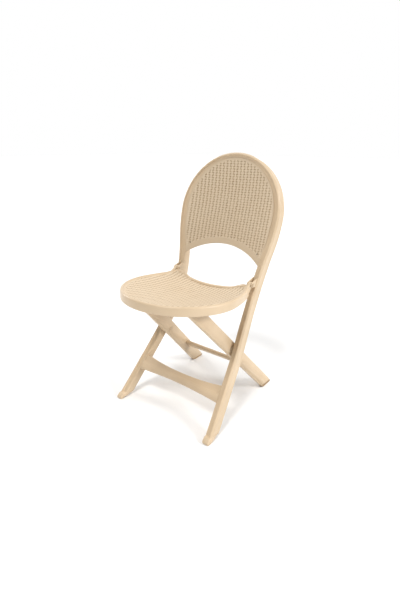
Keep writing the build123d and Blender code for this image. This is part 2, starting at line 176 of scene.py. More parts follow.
sky = bpy.data.worlds.new("studio")
sky.use_nodes = True
sky_light = sky.node_tree.nodes["Background"]
start = Wire(sky.node_tree)
toward = start.node("ShaderNodeTexCoord", output="Generated")
toward = toward.node("ShaderNodeSeparateXYZ", None, {"Vector": toward}, output="Y")
dark_wall = toward.node(
    "ShaderNodeMapRange", None, {"Value": toward, "From Min": 0.38, "From Max": -0.30}
)
wall_tone = dark_wall.blend((1.0, 1.0, 1.0, 1.0), (0.38, 0.378, 0.375, 1.0))
start.tree.links.new(wall_tone.socket, sky_light.inputs["Color"])
sky_light.inputs["Strength"].default_value = 1.0
scene.world = sky
scene.view_settings.view_transform = "Standard"

for lamp_name, toward_lamp, lamp_power in (
    ("top_lamp", (0.05, -0.45, 0.88), 1.5),
    ("right_lamp", (0.86, 0.22, 0.50), 1.6),
    ("left_lamp", (-0.90, 0.05, 0.42), 0.9),
):
    lamp = bpy.data.objects.new(lamp_name, bpy.data.lights.new(lamp_name, "SUN"))
    lamp.data.energy = lamp_power
    lamp.data.angle = math.radians(16.0)
    lamp.rotation_euler = Vector(toward_lamp).to_track_quat("Z", "Y").to_euler()
    scene.collection.objects.link(lamp)


# ---------------------------------------------------------------- back frame
# One moulding in satin cream polypropylene makes the hoop, the sides and the two
# front legs. Its section has a bright bead near its outer edge, a shallow cove
# inside the bead, and a side face that is sunk a little between two edges.
def moulded_plastic(name, light, deep):
    """Satin moulded plastic: a cloudy cream and a fine grain."""
    material, start, shader = new_material(name)
    place = start.node("ShaderNodeTexCoord", output="Object")
    clouds = start.node(
        "ShaderNodeTexNoise", None, {"Vector": place, "Scale": 9.0, "Detail": 4.0}
    )
    grain = start.node(
        "ShaderNodeTexNoise", None, {"Vector": place, "Scale": 900.0, "Detail": 2.0}
    )
    scuffs = start.node(
        "ShaderNodeTexNoise",
        None,
        {"Vector": place, "Scale": 42.0, "Detail": 6.0, "Roughness": 0.7},
    )
    cloud_mask = clouds.node(
        "ShaderNodeMapRange", None, {"Value": clouds, "From Min": 0.3, "From Max": 0.7}
    )
    tone = cloud_mask.blend(light, deep)
    gloss = 0.24 + cloud_mask * 0.05 + scuffs * 0.10
    bump = start.node(
        "ShaderNodeBump",
        None,
        {"Strength": 0.12, "Distance": 0.0003, "Height": grain + scuffs * 0.5},
    )
    start.tree.links.new(tone.socket, shader.inputs["Base Color"])
    start.tree.links.new(gloss.socket, shader.inputs["Roughness"])
    start.tree.links.new(bump.socket, shader.inputs["Normal"])
    shader.inputs["IOR"].default_value = 1.49
    shader.inputs["Specular IOR Level"].default_value = 0.45
    return material


cream_plastic = moulded_plastic(
    "cream_moulded_plastic", linear(210, 188, 158), linear(201, 178, 147)
)

overall_height = cad_high.z - cad_low.z
back_lean = math.radians(15.4)
leg_bend = math.radians(25.5)  # how far the front legs turn forward from the hoop
bend_radius = 0.840
bend_place = np.array([0.0, 0.09015, 0.3345])
bend_start = bend_radius * math.tan(leg_bend / 2)  # up the hoop from the bend
up_hoop = np.array([0.0, math.sin(back_lean), math.cos(back_lean)])
hoop_front = np.array([0.0, -math.cos(back_lean), math.sin(back_lean)])
across = np.array([1.0, 0.0, 0.0])
hoop_top = (overall_height - bend_place[2]) / math.cos(back_lean)


def frame_place(x, v, depth):
    """A point at x, v in the plane of the hoop, at a depth behind the frame's front.

    The front is flat above the bend, an arc of the bend radius through it and a
    straight slope below, and a depth behind it is its parallel curve."""
    radius = bend_radius + depth
    down = np.maximum(bend_start - v, 0.0)
    in_arc = np.minimum(down, radius * math.sin(leg_bend))
    forward = bend_radius - np.sqrt(radius**2 - in_arc**2)
    forward = forward + (down - in_arc) * math.tan(leg_bend)
    x, v, forward = np.broadcast_arrays(x, v, forward)
    return (
        bend_place
        + x[..., None] * across
        + v[..., None] * up_hoop
        + forward[..., None] * hoop_front
    )


foot_v = -0.367  # the line ends here, and the foot is drawn down from it
leg_splay = -0.1092  # sideways run of the leg for each metre up the hoop plane
foot_half_width = 0.2165
foot_drop = -0.3995  # where the front of the leg meets the floor
waist_v = -0.090
waist_radius = 1.070
hoop_half_width = 0.208
hoop_widest = 0.346
dome_radius = 0.206


def hoop_line(count):
    """The frame's outer line from the right foot to its top, and its inward normals.

    It is a chain of a straight leg and four arcs, each tangent to the one before:
    a waist arc, an arc to the widest point, a side arc and the dome. Returns x, v
    and the normal's two parts, evenly spaced along the line."""
    splay = math.atan(-leg_splay)
    join_x = foot_half_width + leg_splay * (waist_v - foot_drop)
    arc_v = waist_v + waist_radius * math.sin(splay)
    arc_x = join_x - waist_radius * (1 - math.cos(splay))
    swell = 2 * math.atan((hoop_half_width - arc_x) / (hoop_widest - arc_v))
    swell_radius = (hoop_widest - arc_v - waist_radius * math.sin(swell)) / math.sin(swell)
    dome_centre = hoop_top - dome_radius
    rise = dome_centre - hoop_widest
    side_radius = (hoop_half_width**2 + rise**2 - dome_radius**2) / (
        2 * (hoop_half_width - dome_radius)
    )
    lift = math.atan(rise / (side_radius - hoop_half_width))
    leg_run = (waist_v - foot_v) / math.cos(splay)
    runs = np.array(
        [
            leg_run,
            waist_radius * (splay + swell),
            swell_radius * swell,
            side_radius * lift,
            dome_radius * (math.pi / 2 - lift),
        ]
    )
    turns = np.array([0, -1 / waist_radius, 1 / swell_radius, 1 / side_radius, 1 / dome_radius])
    ends = np.concatenate([[0.0], np.cumsum(runs)])
    fine = np.linspace(0, ends[-1], 6001)
    curve = turns[np.clip(np.searchsorted(ends, fine, side="right") - 1, 0, 4)]
    step = fine[1] - fine[0]
    heading = splay + np.concatenate([[0], np.cumsum((curve[1:] + curve[:-1]) / 2 * step)])
    x_step, v_step = -np.sin(heading), np.cos(heading)
    x = np.concatenate([[0], np.cumsum((x_step[1:] + x_step[:-1]) / 2 * step)])
    v = np.concatenate([[0], np.cumsum((v_step[1:] + v_step[:-1]) / 2 * step)])
    x = x - x[-1]
    v = v + (hoop_top - v[-1])
    places = np.linspace(0, ends[-1], count)
    x, v, heading = (np.interp(places, fine, line) for line in (x, v, heading))
    return x, v, -np.cos(heading), -np.sin(heading)


def rounded_loop(corners, radii, steps):
    """A closed loop with each corner replaced by an arc: corners (n, 2), radii (n)."""
    corners, radii = np.asarray(corners, float), np.asarray(radii, float)
    to_last = np.roll(corners, 1, axis=0) - corners
    to_next = np.roll(corners, -1, axis=0) - corners
    to_last /= np.linalg.norm(to_last, axis=1)[:, None]
    to_next /= np.linalg.norm(to_next, axis=1)[:, None]
    half = np.arccos(np.clip((to_last * to_next).sum(1), -1, 1)) / 2
    reach = radii / np.tan(half)
    middle = to_last + to_next
    middle /= np.linalg.norm(middle, axis=1)[:, None]
    centre = corners + middle * (radii / np.sin(half))[:, None]
    first = corners + to_last * reach[:, None] - centre
    last = corners + to_next * reach[:, None] - centre
    sweep = np.arctan2(
        first[:, 0] * last[:, 1] - first[:, 1] * last[:, 0], (first * last).sum(1)
    )
    angle = sweep[:, None] * np.linspace(0, 1, steps)
    cos, sin = np.cos(angle), np.sin(angle)
    arc_x = first[:, :1] * cos - first[:, 1:] * sin
    arc_y = first[:, :1] * sin + first[:, 1:] * cos
    return np.stack([arc_x + centre[:, :1], arc_y + centre[:, 1:]], -1).reshape(-1, 2)


def skin(name, rings, closed=False):
    """A solid skinned over rings (n, m, 3): a profile carried along a path.

    Neighbouring rings are joined by quads. The ends are closed by one face each,
    unless the path itself is closed. Faces are then turned to look outwards."""
    count, size = rings.shape[:2]
    ring = np.arange(count if closed else count - 1)[:, None]
    spot = np.arange(size)[None, :]
    after, beside = (ring + 1) % count, (spot + 1) % size
    quads = np.stack(
        [
            ring * size + spot,
            ring * size + beside,
            after * size + beside,
            after * size + spot,
        ],
        -1,
    ).reshape(-1, 4)
    faces = quads.tolist()
    if not closed:
        faces += [list(range(size))[::-1], list(range((count - 1) * size, count * size))]
    corners = rings.reshape(-1, 3)
    a, b, c, d = (corners[quads[:, k]] for k in range(4))
    volume = np.einsum("ij,ij->", a, np.cross(b, c) + np.cross(c, d))
    if volume < 0:
        faces = [face[::-1] for face in faces]
    return flat_mesh(name, corners, faces)


def dress(piece, material, slot_name, body, *nodes):
    """Gives a piece its material and body, and hides the nodes it stands for. slot_name is not
    used.
    """
    piece.data.materials.append(material)
    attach(piece, body)
    if nodes:
        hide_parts(*nodes)
    return piece


frame_width = 0.025
dome_width = 0.018  # the frame is slimmer round the top of the hoop
leg_depth = 0.040
top_depth = 0.034
bead_in = 0.0065  # of the bead's crest from the outer face
side_sink = 0.0012
sole_height = 0.005
hoop_steps = 230
foot_run = 0.10  # length of leg that is drawn down to the cut
heel_rise = 0.26  # of the cut, for each metre behind the toe's flat
toe_flat = 0.011
gauge_v, gauge_step = -0.30, 0.01  # two heights on the straight leg give its slope


def frame_section(cove, depth, width):
    """The section as inward and rearward distances: bead, cove, inner wall, sunk side."""
    corners = [
        (-0.0008, 0.0056),
        (bead_in - 0.0022, -0.0012),
        (bead_in + 0.0018, -0.0012),
        (bead_in + 0.0036, 0.0046),
        (width - 0.004, cove),
        (width, cove + 0.001),
        (width, depth),
        (0.0, depth),
        (0.0, depth - 0.004),
        (side_sink, depth - 0.0055),
        (side_sink, 0.0095),
        (-0.0008, 0.0080),
    ]
    bead_radii = [0.0006, 0.0016, 0.0016, 0.0016]
    inner_radii = [0.0020, 0.0008, 0.0022, 0.0022]
    side_radii = [0.0004, 0.0005, 0.0005, 0.0004]
    return rounded_loop(corners, bead_radii + inner_radii + side_radii, 4)


half_x, half_v, half_nx, half_nv = hoop_line(hoop_steps)
line_x = np.concatenate([half_x, -half_x[-2::-1]])
line_v = np.concatenate([half_v, half_v[-2::-1]])
line_nx = np.concatenate([half_nx, -half_nx[-2::-1]])
line_nv = np.concatenate([half_nv, half_nv[-2::-1]])
hoop_share = np.clip((line_v - 0.10) / 0.12, 0, 1)[:, None, None]
hoop_share = hoop_share * hoop_share * (3 - 2 * hoop_share)
height_share = np.clip((line_v - bend_start) / (hoop_top - bend_start), 0, 1)[:, None, None]
leg_part = frame_section(0.0042, leg_depth, frame_width)
cove_part = frame_section(0.0066, leg_depth, frame_width)
top_part = frame_section(0.0066, top_depth, dome_width)
dome_share = height_share**4  # how much of the way to the slim section
sections = leg_part + (cove_part - leg_part) * hoop_share + (top_part - cove_part) * dome_share
inward, behind = sections[..., 0], sections[..., 1]
ring_x = line_x[:, None] + inward * line_nx[:, None]
ring_v = line_v[:, None] + inward * line_nv[:, None]
# the last 100 mm of each leg shear into a cut that is level under the toe and
# rises a little towards the heel
low_point = frame_place(ring_x, np.full_like(ring_v, gauge_v), behind)[..., 2]
next_point = frame_place(ring_x, np.full_like(ring_v, gauge_v + gauge_step), behind)[..., 2]
cut_height = sole_height + heel_rise * np.maximum(behind - toe_flat, 0.0)
level_v = gauge_v + (cut_height - low_point) * gauge_step / (next_point - low_point)
leg_share = np.clip((line_v - line_v[0]) / foot_run, 0, 1)[:, None]
ring_v = ring_v + (level_v - line_v[0]) * (1 - leg_share)
slide_x = line_x[:, None] + (ring_v - line_v[:, None]) * leg_splay * np.sign(line_x)[:, None]
ring_x = np.where(leg_share < 1, slide_x + inward * line_nx[:, None], ring_x)
back_frame = skin("back_frame_moulding", frame_place(ring_x, ring_v, behind))
dress(back_frame, cream_plastic, "frame_plastic", "frame", "back_frame")


# ---------------------------------------------------------------- seat hinge ears
# Two thin plates stand forward from each side of the frame. The seat's knuckle
# turns between them on a steel pin. They are moulded in one with the frame.
hinge_low, hinge_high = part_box("seat_hinge_pin_right")
hinge_y = (hinge_low.y + hinge_high.y) / 2
hinge_z = (hinge_low.z + hinge_high.z) / 2
ear_radius = 0.009
ear_thickness = 0.0039
ear_inner = 0.1545
knuckle_gap = 0.0012
knuckle_width = 0.0100


def slab(name, outline, low, high, rounding, steps=4):
    """A plate of a closed YZ outline between two values of x, its edges rounded.

    Each ring is the outline moved inwards by the depth of a quarter circle. The
    plate's two x values may be arrays along the outline, for a leaning face."""
    ahead = np.roll(outline, -1, axis=0) - np.roll(outline, 1, axis=0)
    ahead /= np.linalg.norm(ahead, axis=1)[:, None]
    after = np.roll(outline, -1, axis=0)
    area = np.sum(outline[:, 0] * after[:, 1] - after[:, 0] * outline[:, 1])
    inside = np.stack([-ahead[:, 1], ahead[:, 0]], 1) * (1 if area > 0 else -1)
    angle = np.linspace(0, math.pi / 2, steps)
    inset = rounding * (1 - np.sin(angle))
    drop = rounding * (1 - np.cos(angle))
    inset = np.concatenate([inset, inset[::-1]])[:, None, None]
    drop = np.concatenate([drop, drop[::-1]])
    flat = outline + inset * inside
    x = np.empty(flat.shape[:2])
    x[:steps] = low + drop[:steps, None]
    x[steps:] = high - drop[steps:, None]
    return skin(name, np.concatenate([x[..., None], flat], -1))


def hull_loop(circles, steps):
    """The loop round a string of circles (y, z, radius) that stand at a convex outline."""
    angle = np.linspace(0, 2 * math.pi, steps, endpoint=False)
    reach = np.stack([np.cos(angle), np.sin(angle)], 1)
    circles = np.array(circles)
    support = circles[:, :2] @ reach.T + circles[:, 2:]
    best = support.argmax(0)
    return circles[best, :2] + circles[best, 2:] * reach


ear_loop = hull_loop(
    [
        (hinge_y, hinge_z, ear_radius),
        (hinge_y + 0.027, hinge_z - 0.007, 0.006),
        (hinge_y + 0.031, hinge_z + 0.011, 0.006),
    ],
    64,
)
outer_ear = ear_inner + ear_thickness + 2 * knuckle_gap + knuckle_width
for side_name, side in (("right", 1), ("left", -1)):
    for ear_name, ear_x in (("inner", ear_inner), ("outer", outer_ear)):
        near, far = sorted((side * ear_x, side * (ear_x + ear_thickness)))
        ear = slab(f"hinge_ear_{ear_name}_{side_name}", ear_loop, near, far, 0.0011)
        dress(ear, cream_plastic, "frame_plastic", "frame")

# ---------------------------------------------------------------- crossing bosses
# A round pad on the inside of each front leg is the stop that the rear leg's
# washer runs against. It is part of the frame moulding.
pivot_low, pivot_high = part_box("crossing_washer_right")
pivot_y = (pivot_low.y + pivot_high.y) / 2
pivot_z = (pivot_low.z + pivot_high.z) / 2
pivot_face = 0.1557
boss_radius = 0.015
boss_length = 0.012
boss_loop = hull_loop([(pivot_y, pivot_z, boss_radius)], 56)
for side_name, side in (("right", 1), ("left", -1)):
    near, far = sorted((side * pivot_face, side * (pivot_face + boss_length)))
    boss = slab(f"crossing_boss_{side_name}", boss_loop, near, far, 0.0012)
    dress(boss, cream_plastic, "frame_plastic", "frame")


# ---------------------------------------------------------------- woven back panel
# A thin shell moulded with a wicker weave: upright stakes with flat weavers that
# pass in front of and behind them. It is dished away from the sitter, and a plain
# band closes its arched lower edge.
stake_pitch = 0.0145
weaver_pitch = 0.0085


def wicker(across_cloth, along_cloth, stake_width=0.56, weaver_width=0.92, swing=0.46):
    """Height of a wicker weave from 0 in its holes to 1 on its crests.

    Stakes and weavers are half-round strands. Each rises and falls as a cosine
    along its length, opposite to the strand it crosses, and the higher one shows."""
    s = across_cloth / stake_pitch
    t = along_cloth / weaver_pitch
    stake, weaver = np.floor(s), np.floor(t)
    stake_over = np.cos(math.pi * (t - 0.5)) * np.where(stake % 2 == 0, 1, -1)
    weaver_over = -np.cos(math.pi * (s - 0.5)) * np.where(weaver % 2 == 0, 1, -1)
    from_stake = np.abs(2 * (s - stake - 0.5)) / stake_width
    from_weaver = np.abs(2 * (t - weaver - 0.5)) / weaver_width
    stake_round = np.sqrt(np.clip(1 - from_stake**3, 0, 1))
    weaver_round = np.sqrt(np.clip(1 - from_weaver**4, 0, 1))
    stake_height = 0.25 + swing * 0.5 * stake_over + 0.35 * stake_round
    weaver_height = 0.20 + swing * 0.5 * weaver_over + 0.35 * weaver_round
    stake_height = np.where(from_stake < 1, stake_height, 0)
    weaver_height = np.where(from_weaver < 1, weaver_height, 0)
    return np.clip(np.maximum(stake_height, weaver_height), 0, 1)


def woven_plastic_material(name, crest, body, painted_hole_shade):
    """Matt moulded plastic with painted light and shade by weave height: a painted lighter tone
    on the crests, and painted shade darkening into the holes.
    """
    material, start, shader = new_material(name)
    height = start.node("ShaderNodeAttribute", {"attribute_name": "weave"}, output="Fac")
    place = start.node("ShaderNodeTexCoord", output="Object")
    clouds = start.node(
        "ShaderNodeTexNoise", None, {"Vector": place, "Scale": 14.0, "Detail": 4.0}
    )
    grain = start.node(
        "ShaderNodeTexNoise", None, {"Vector": place, "Scale": 700.0, "Detail": 2.0}
    )
    painted_shade_fade = height.node(
        "ShaderNodeMapRange", None, {"Value": height, "From Min": 0.12, "From Max": 0.55}
    )
    high_mask = height.node(
        "ShaderNodeMapRange", None, {"Value": height, "From Min": 0.5, "From Max": 0.85}
    )
    # painted shade: the colour darkens from the strands into the weave's holes, and a painted
    # lighter tone goes on the crests
    shade = painted_shade_fade.blend(painted_hole_shade, body)
    shade = high_mask.blend(shade, crest)
    shade = (clouds * 0.25).blend(shade, linear(190, 160, 122))
    bump = start.node(
        "ShaderNodeBump", None, {"Strength": 0.15, "Distance": 0.0003, "Height": grain}
    )
    start.tree.links.new(shade.socket, shader.inputs["Base Color"])
    start.tree.links.new((0.62 - high_mask * 0.16).socket, shader.inputs["Roughness"])
    start.tree.links.new(bump.socket, shader.inputs["Normal"])
    shader.inputs["Specular IOR Level"].default_value = 0.35
    return material


# The last colour is painted shade for the weave's holes; the first is a painted lighter tone
# for its crests.
woven_plastic = woven_plastic_material(
    "woven_cream_plastic", linear(222, 206, 182), linear(199, 179, 151), linear(118, 90, 60)
)


def coons_patch(bottom, top, left, right):
    """A grid of points spanned between four edge lines that share their corners.

    Two ruled sheets, one from bottom to top and one from left to right, are added,
    and the sheet through the four corners is taken away."""
    s = np.linspace(0, 1, len(bottom))[None, :, None]
    t = np.linspace(0, 1, len(left))[:, None, None]
    upright = (1 - t) * bottom[None] + t * top[None]
    level = (1 - s) * left[:, None] + s * right[:, None]
    corners = (1 - t) * ((1 - s) * bottom[0] + s * bottom[-1])
    corners = corners + t * ((1 - s) * top[0] + s * top[-1])
    return upright + level - corners


def spaced(line, count):
    """The same line (n, 2) with count points spaced evenly along it."""
    run = np.concatenate([[0], np.cumsum(np.linalg.norm(np.diff(line, axis=0), axis=1))])
    places = np.linspace(0, run[-1], count)
    return np.stack([np.interp(places, run, line[:, k]) for k in (0, 1)], 1)


def sheet_faces(rows, columns):
    """Quads of a grid of points, row by row."""
    row = np.arange(rows - 1)[:, None]
    column = np.arange(columns - 1)[None, :]
    first = row * columns + column
    return np.stack([first, first + 1, first + columns + 1, first + columns], -1).reshape(-1, 4)


def woven_sheet(name, points, weave, thickness):
    """A grid of points (rows, columns, 3) with a weave height, thickened behind."""
    piece = flat_mesh(name, points, sheet_faces(*weave.shape).tolist())
    mark = piece.data.attributes.new("weave", "FLOAT", "POINT")
    mark.data.foreach_set("value", weave.astype(np.float32).ravel())
    wall = piece.modifiers.new("wall", "SOLIDIFY")
    wall.thickness = thickness
    wall.offset = -1.0
    return piece


panel_tuck = 0.0012  # behind the lip of the cove
arch_end = 0.188
arch_rise = 0.048
arch_half_width = 0.150
arch_radius = (arch_half_width**2 + arch_rise**2) / (2 * arch_rise)
arch_centre = arch_end + arch_rise - arch_radius
band_width = 0.024
plain_margin = 0.0045
dish_depth = 0.024
edge_depth = 0.0055
dish_half_width = 0.180
dish_middle = 0.36  # below this height the dish is a trough
weave_fade = 0.003  # over which the weave runs out into the plain margin
band_fade = 0.002
band_swell = 0.0008  # of the arched band in front of the weave's crests
bare_tone = 0.62  # the weave height that gives bare surfaces their colour
weave_relief = 0.0016
panel_wall = 0.0032
corner_share = 0.72  # where along the side line the grid's top corners sit

half_width = frame_width + (dome_width - frame_width) * dome_share[:hoop_steps, 0, 0]
inner_x = half_x + (half_width - panel_tuck) * half_nx
inner_v = half_v + (half_width - panel_tuck) * half_nv
above = np.hypot(inner_x, inner_v - arch_centre) > arch_radius
above &= inner_v > arch_end - 0.06
side_line = np.stack([inner_x[above], inner_v[above]], 1)
first_angle = math.atan2(side_line[0, 1] - arch_centre, side_line[0, 0])
arch_angle = np.linspace(math.pi - first_angle, first_angle, 400)
arch_line = np.stack(
    [arch_radius * np.cos(arch_angle), arch_centre + arch_radius * np.sin(arch_angle)], 1
)
side_line[0] = arch_line[-1]
side_line = spaced(side_line, 400)
cut = int(corner_share * len(side_line))
mirrored = side_line * np.array([-1, 1])
dome_line = np.concatenate([mirrored[cut - 1 :], side_line[cut - 1 : -1][::-1]])
panel_columns, panel_rows = 200, 224
panel_grid = coons_patch(
    spaced(arch_line, panel_columns),
    spaced(dome_line, panel_columns),
    spaced(mirrored[:cut], panel_rows),
    spaced(side_line[:cut], panel_rows),
)
panel_x, panel_v = panel_grid[..., 0], panel_grid[..., 1]


def gap_to_edge(x, v, edge_x, edge_v):
    """Distance to a convex edge line, from the level gap and the upright gap to it."""
    level = np.interp(v, edge_v, edge_x) - np.abs(x)
    upright = np.interp(np.abs(x), edge_x[::-1], edge_v[::-1]) - v
    level, upright = np.maximum(level, 1e-6), np.maximum(upright, 1e-6)
    return level * upright / np.hypot(level, upright)


widest = int(np.argmax(side_line[:, 0]))
dome_gap = gap_to_edge(panel_x, panel_v, side_line[widest:, 0], side_line[widest:, 1])
side_gap = np.interp(panel_v, side_line[:, 1], side_line[:, 0]) - np.abs(panel_x)
edge_gap = np.where(panel_v > hoop_widest, dome_gap, side_gap)
arch_gap = np.hypot(panel_x, panel_v - arch_centre) - arch_radius


def ease(value, start, end):
    """0 before start and 1 after end, with a smooth rise between."""
    share = np.clip((value - start) / (end - start), 0, 1)
    return share * share * (3 - 2 * share)


above_middle = np.maximum(panel_v - dish_middle, 0)
from_axis = np.clip(np.hypot(panel_x, above_middle) / dish_half_width, 0, 1)
panel_depth = edge_depth + dish_depth * (1 - from_axis**2)
above_band = ease(arch_gap, band_width - band_fade, band_width)
woven_share = ease(edge_gap, plain_margin, plain_margin + weave_fade) * above_band
weave = wicker(panel_x + 0.5 * stake_pitch, panel_v)
band_lift = band_swell * (1 - above_band)
panel_depth = panel_depth + (1 - weave) * weave_relief * woven_share - band_lift
panel_points = frame_place(panel_x, panel_v, panel_depth)
shown_weave = 1 - (1 - weave) * woven_share
shown_weave = np.where(woven_share < 0.5, bare_tone, shown_weave)
back_panel = woven_sheet("back_panel_weave", panel_points, shown_weave, panel_wall)
dress(back_panel, woven_plastic, "woven_plastic", "frame", "back_panel")


# ---------------------------------------------------------------- panel screws
# Two small dark screws come from behind through the lower corners of the panel,
# and only their round tips show in the weave.
def metal_material(name, tone, dark, roughness):
    """Turned or rolled metal with fine lines round it and a little tarnish."""
    material, start, shader = new_material(name)
    place = start.node("ShaderNodeTexCoord", output="Object")
    stretched = start.node(
        "ShaderNodeMapping", None, {"Vector": place, "Scale": (900.0, 120.0, 120.0)}
    )
    lines = start.node(
        "ShaderNodeTexNoise", None, {"Vector": stretched, "Scale": 1.0, "Detail": 3.0}
    )
    tarnish = start.node(
        "ShaderNodeTexNoise", None, {"Vector": place, "Scale": 160.0, "Detail": 5.0}
    )
    shade = tarnish.blend(tone, dark)
    bump = start.node(
        "ShaderNodeBump", None, {"Strength": 0.2, "Distance": 0.0001, "Height": lines}
    )
    start.tree.links.new(shade.socket, shader.inputs["Base Color"])
    start.tree.links.new((roughness + lines * 0.15).socket, shader.inputs["Roughness"])
    start.tree.links.new(bump.socket, shader.inputs["Normal"])
    shader.inputs["Metallic"].default_value = 1.0
    return material


dark_screw = metal_material("dark_screw_metal", linear(70, 60, 48), linear(38, 32, 26), 0.35)
painted_pin = moulded_plastic("painted_pin", linear(196, 174, 144), linear(184, 161, 131))


def repaint(node, material):
    """Gives a CAD node a better material in place of its plain one."""
    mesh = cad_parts[node].data
    mesh.materials.clear()
    mesh.materials.append(material)


screw_x, screw_v, screw_radius = 0.148, 0.220, 0.0016
screw_turn = np.linspace(0, 2 * math.pi, 25)[:-1]
screw_reach = np.array([0.55, 1.0, 1.0])[:, None] * screw_radius
screw_depth = np.array([0.0112, 0.0116, 0.0175])[:, None]
for side_name, side in (("right", 1), ("left", -1)):
    ring_x = side * screw_x + screw_reach * np.cos(screw_turn)
    ring_v = screw_v + screw_reach * np.sin(screw_turn)
    screw = skin(f"panel_screw_{side_name}", frame_place(ring_x, ring_v, screw_depth))
    dress(screw, dark_screw, "dark_metal", "frame", *(["panel_screws"] if side > 0 else []))


# ---------------------------------------------------------------- front stretcher
# A board moulded between the front legs, tall at its ends and slim in the middle.
# Its lower strip stands proud of the sunk upper part, so a crease runs along it.
leg_lean = math.radians(40.9)
leg_up = np.array([0.0, math.sin(leg_lean), math.cos(leg_lean)])
leg_front = np.array([0.0, -math.cos(leg_lean), math.sin(leg_lean)])
leg_foot = bend_place - leg_up * bend_place[2] / math.cos(leg_lean)


def board(name, lines, front, sink, thickness, sides, axes):
    """A board carried across the chair, with its lower strip proud of its upper part.

    lines holds its low edge, high edge and crease as functions of the share -1 to 1
    across, sides gives its half width at a height up the board, and axes are the
    place it starts from, its way up and its way out."""
    share = np.linspace(-1, 1, 97)
    low, high, crease = lines
    foot, up, out = axes
    bottom, top, line = low(share), high(share), crease(share)
    bead = 0.0025
    up_parts = [
        bottom + bead,
        bottom,
        bottom,
        bottom + bead,
        line - 0.0015,
        line,
        line + 0.0020,
        top - bead,
        top,
        top,
        top - bead,
    ]
    out_parts = [
        -thickness,
        bead - thickness,
        -bead,
        0.0,
        0.0,
        -0.3 * sink,
        -sink,
        -sink,
        -sink - bead,
        bead - thickness,
        -thickness,
    ]
    rise = np.stack([np.broadcast_to(p, share.shape) for p in up_parts], 1)
    depth = np.stack([np.broadcast_to(p, share.shape) for p in out_parts], 1)
    width = share[:, None] * sides(rise)
    depth = front + depth
    points = foot + width[..., None] * across + rise[..., None] * up
    return skin(name, points + depth[..., None] * out)


front_low, front_high, front_sag, front_arch = 0.134, 0.194, 0.014, 0.008
leg_run_in = 0.0986  # of the leg's inner face, for each metre up the leg


def front_leg_inside(rise):
    """Half width between the front legs at a distance up the leg."""
    return foot_half_width - frame_width - leg_run_in * rise + 0.002


front_stretcher = board(
    "front_stretcher_board",
    (
        lambda share: front_low + front_arch * (1 - share**2),
        lambda share: front_high - front_sag * (1 - np.abs(share) ** 2.2),
        lambda share: front_low + 0.032 - 0.002 * (1 - share**2),
    ),
    front=-0.003,
    sink=0.0035,
    thickness=0.018,
    sides=front_leg_inside,
    axes=(leg_foot, leg_up, leg_front),
)
dress(front_stretcher, cream_plastic, "frame_plastic", "frame", "front_stretcher")

# ---------------------------------------------------------------- front feet
# A boot closes each front leg: a swollen round toe in front of the leg, and a thin
# sole under it. It is pressed into the leg's end.
for side_name, side in (("right", 1), ("left", -1)):
    node_low, node_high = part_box(f"front_foot_{side_name}")
    toe_y, heel_y = node_low.y, node_high.y
    boot_corners = [
        (toe_y + 0.0030, 0.0),
        (toe_y + 0.0004, 0.0085),
        (leg_foot[1] + 0.0115, 0.0200),
        (leg_foot[1] + 0.0260, 0.0220),
        (heel_y - 0.0060, 0.0160),
        (heel_y - 0.0040, 0.0110),
        (leg_foot[1] + 0.0190, 0.0),
    ]
    boot_radii = [0.004, 0.0065, 0.0050, 0.0015, 0.0012, 0.002, 0.006]
    boot_loop = rounded_loop(boot_corners, boot_radii, 5)
    outer = foot_half_width - 0.0005 + leg_splay * boot_loop[:, 1]
    inner = outer - frame_width + 0.0010
    low_x, high_x = (inner, outer) if side > 0 else (-outer, -inner)
    boot = slab(f"front_boot_{side_name}", boot_loop, low_x, high_x, 0.0034)
    dress(boot, cream_plastic, "frame_plastic", "frame", f"front_foot_{side_name}")

# ---------------------------------------------------------------- rear legs
# Two wide planks cross inside the front legs and run up under the seat. Each has
# rounded edges and a plain face, and its foot is cut level.
rear_lean = math.radians(42.6)
rear_depth = 0.048
rear_width = 0.017
rear_foot_y = 0.20505
rear_foot_half = 0.183
rear_taper = 0.1302
rear_top_y = -0.17935
rear_top_z = 0.4436
hub_inner, hub_outer, hub_radius = 0.1454, 0.1544, 0.014
hub_loop = hull_loop([(pivot_y, pivot_z, hub_radius)], 56)
rear_slope = math.tan(rear_lean)
rear_back_y = rear_foot_y + rear_depth / math.cos(rear_lean)
plank_loop = rounded_loop(
    [
        (rear_foot_y - rear_slope * sole_height, sole_height),
        (rear_top_y, (rear_foot_y - rear_top_y) / rear_slope),
        (rear_top_y, rear_top_z),
        (rear_back_y - rear_slope * rear_top_z, rear_top_z),
        (rear_back_y - rear_slope * 0.012, 0.012),
        (rear_back_y - rear_slope * 0.012 - 0.004, sole_height),
    ],
    [0.002, 0.030, 0.013, 0.015, 0.004, 0.003],
    8,
)
for side_name, side in (("right", 1), ("left", -1)):
    outer = rear_foot_half - rear_taper * plank_loop[:, 1]
    inner = outer - rear_width
    low_x, high_x = (inner, outer) if side > 0 else (-outer, -inner)
    plank = slab(f"rear_leg_plank_{side_name}", plank_loop, low_x, high_x, 0.0028, 5)
    dress(plank, cream_plastic, "frame_plastic", "rear_legs", f"rear_leg_{side_name}")
    near, far = sorted((side * hub_inner, side * hub_outer))
    hub = slab(f"rear_leg_boss_{side_name}", hub_loop, near, far, 0.0008)
    dress(hub, cream_plastic, "frame_plastic", "rear_legs")
    repaint(f"crossing_pin_{side_name}", painted_pin)
    repaint(f"seat_hinge_pin_{side_name}", painted_pin)


# ---------------------------------------------------------------- washers
# Natural nylon rings that keep the two leg frames apart at the crossing.
def nylon_material():
    """Milky nylon: pale, slightly mottled and waxy."""
    material, start, shader = new_material("natural_nylon")
    place = start.node("ShaderNodeTexCoord", output="Object")
    mottle = start.node(
        "ShaderNodeTexNoise", None, {"Vector": place, "Scale": 120.0, "Detail": 4.0}
    )
    shade = mottle.blend(linear(232, 226, 208), linear(214, 206, 184))
    start.tree.links.new(shade.socket, shader.inputs["Base Color"])
    start.tree.links.new((0.38 + mottle * 0.2).socket, shader.inputs["Roughness"])
    return material


